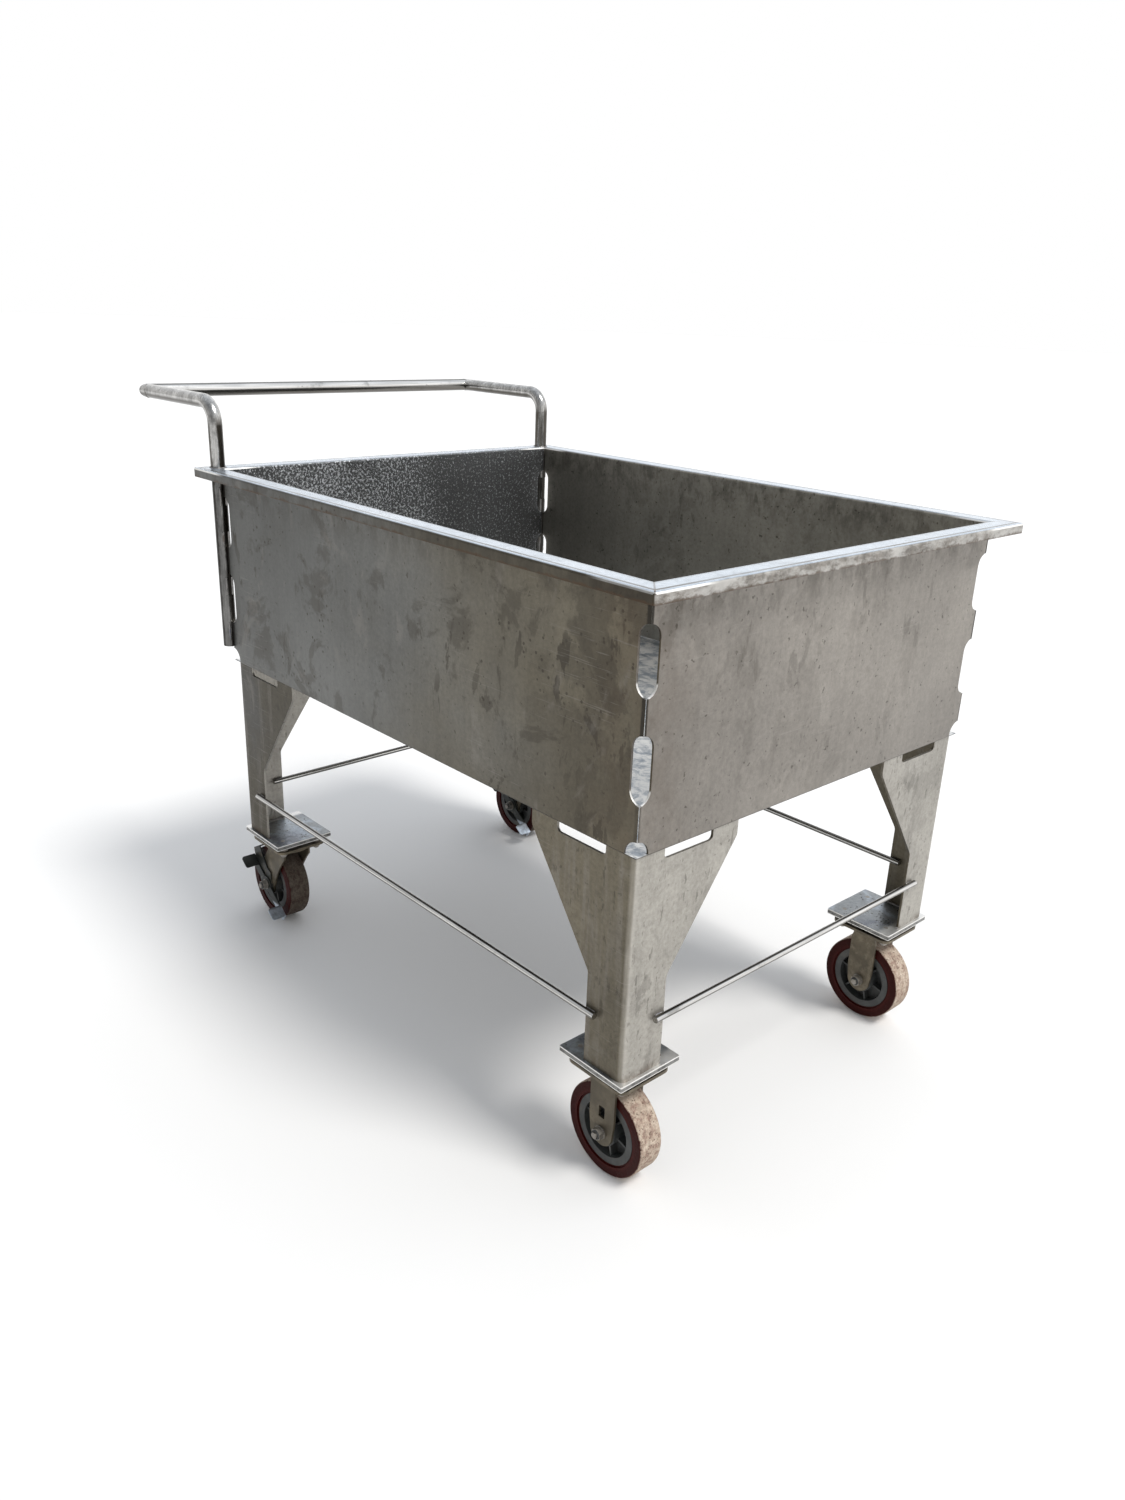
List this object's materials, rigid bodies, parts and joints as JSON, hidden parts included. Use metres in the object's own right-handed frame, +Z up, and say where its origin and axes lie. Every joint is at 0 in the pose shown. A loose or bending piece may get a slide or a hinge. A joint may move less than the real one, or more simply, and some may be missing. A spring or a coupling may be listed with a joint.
{
  "type": "tub trolley",
  "caption": "Open rectangular stainless steel tub on angle legs with fixed front casters, braked swivel rear casters and a tubular push handle",
  "frame": {"origin": "on the floor, under the middle of the whole object's length and width", "axes": "+X towards the front, the end without the handle; +Y to the far side; +Z up"},
  "size_m": [1.3997, 0.836, 1.0307],
  "materials": {
    "tub_sheet": "dull mill-finish stainless sheet with stains, scratches and drips",
    "leg_plate": "dull mill-finish stainless plate with faint vertical streaks",
    "foot_plate": "cleaner stainless plate with bright cut edges and weld spots",
    "handle_tube": "polished stainless tube",
    "tie_rod": "bright drawn stainless rod",
    "caster_steel": "pressed stainless with dust",
    "fastener": "turned stainless",
    "sleeve_steel": "plain turned steel",
    "bearing_steel": "ground bearing steel",
    "tyre": "dark red polyurethane with a worn, dusty tread",
    "hub": "dark grey moulded plastic",
    "brake_lever": "dark pressed steel",
    "brake_shoe": "dark pressed steel"
  },
  "bodies": {
    "cart": {"tub_shell": "tub_sheet", "handle_side_near": "handle_tube", "handle_side_far": "handle_tube", "handle_crossbar": "handle_tube", "leg_front_near": "leg_plate", "foot_plate_front_near": "foot_plate", "top_plate_front_near": "caster_steel", "fork_front_near": "caster_steel", "axle_bolt_front_near": "fastener", "axle_nut_front_near": "fastener", "axle_sleeve_front_near": "sleeve_steel", "leg_front_far": "leg_plate", "foot_plate_front_far": "foot_plate", "top_plate_front_far": "caster_steel", "fork_front_far": "caster_steel", "axle_bolt_front_far": "fastener", "axle_nut_front_far": "fastener", "axle_sleeve_front_far": "sleeve_steel", "leg_rear_near": "leg_plate", "foot_plate_rear_near": "foot_plate", "top_plate_rear_near": "caster_steel", "leg_rear_far": "leg_plate", "foot_plate_rear_far": "foot_plate", "top_plate_rear_far": "caster_steel", "tie_rod_near": "tie_rod", "tie_rod_far": "tie_rod", "tie_rod_front": "tie_rod", "tie_rod_rear": "tie_rod", "mounting_studs": "fastener", "mounting_nuts": "fastener", "plate_spacers": "fastener", "kingpin_rear_near": "fastener", "kingpin_rear_far": "fastener"},
    "wheel_front_near": {"tyre_front_near": "tyre", "hub_front_near": "hub", "bearings_front_near": "bearing_steel"},
    "wheel_front_far": {"tyre_front_far": "tyre", "hub_front_far": "hub", "bearings_front_far": "bearing_steel"},
    "swivel_rear_near": {"fork_rear_near": "caster_steel", "swivel_balls_rear_near": "bearing_steel", "axle_bolt_rear_near": "fastener", "axle_nut_rear_near": "fastener", "axle_sleeve_rear_near": "sleeve_steel"},
    "wheel_rear_near": {"tyre_rear_near": "tyre", "hub_rear_near": "hub", "bearings_rear_near": "bearing_steel"},
    "brake_lever_near": {"brake_lever_rear_near": "brake_lever"},
    "brake_shoe_near": {"brake_shoe_rear_near": "brake_shoe"},
    "swivel_rear_far": {"fork_rear_far": "caster_steel", "swivel_balls_rear_far": "bearing_steel", "axle_bolt_rear_far": "fastener", "axle_nut_rear_far": "fastener", "axle_sleeve_rear_far": "sleeve_steel"},
    "wheel_rear_far": {"tyre_rear_far": "tyre", "hub_rear_far": "hub", "bearings_rear_far": "bearing_steel"},
    "brake_lever_far": {"brake_lever_rear_far": "brake_lever"},
    "brake_shoe_far": {"brake_shoe_rear_far": "brake_shoe"}
  },
  "joints": [
    {"name": "front_near_roll", "type": "hinge", "parent": "cart", "child": "wheel_front_near", "pos_m": [0.60135, -0.324, 0.075], "axis": [0, 1, 0], "continuous": true},
    {"name": "front_far_roll", "type": "hinge", "parent": "cart", "child": "wheel_front_far", "pos_m": [0.60135, 0.324, 0.075], "axis": [0, 1, 0], "continuous": true},
    {"name": "rear_near_swivel", "type": "hinge", "parent": "cart", "child": "swivel_rear_near", "pos_m": [-0.34065, -0.324, 0.18], "axis": [0, 0, 1], "continuous": true},
    {"name": "rear_near_roll", "type": "hinge", "parent": "swivel_rear_near", "child": "wheel_rear_near", "pos_m": [-0.38065, -0.324, 0.075], "axis": [0, 1, 0], "continuous": true},
    {"name": "rear_near_brake", "type": "hinge", "parent": "swivel_rear_near", "child": "brake_lever_near", "pos_m": [-0.38065, -0.324, 0.075], "axis": [0, -1, 0], "range_deg": [0, 25]},
    {"name": "rear_near_shoe", "type": "slide", "parent": "swivel_rear_near", "child": "brake_shoe_near", "axis": [0.4848, 0, -0.8746], "range_m": [0, 0.002]},
    {"name": "rear_far_swivel", "type": "hinge", "parent": "cart", "child": "swivel_rear_far", "pos_m": [-0.34065, 0.324, 0.18], "axis": [0, 0, 1], "continuous": true},
    {"name": "rear_far_roll", "type": "hinge", "parent": "swivel_rear_far", "child": "wheel_rear_far", "pos_m": [-0.38065, 0.324, 0.075], "axis": [0, 1, 0], "continuous": true},
    {"name": "rear_far_brake", "type": "hinge", "parent": "swivel_rear_far", "child": "brake_lever_far", "pos_m": [-0.38065, 0.324, 0.075], "axis": [0, -1, 0], "range_deg": [0, 25]},
    {"name": "rear_far_shoe", "type": "slide", "parent": "swivel_rear_far", "child": "brake_shoe_far", "axis": [0.4848, 0, -0.8746], "range_m": [0, 0.002]}
  ],
  "couplings": [
    {"joint": "rear_near_shoe", "follows": "rear_near_brake", "m_per_rad": 0.0045},
    {"joint": "rear_far_shoe", "follows": "rear_far_brake", "m_per_rad": 0.0045}
  ]
}
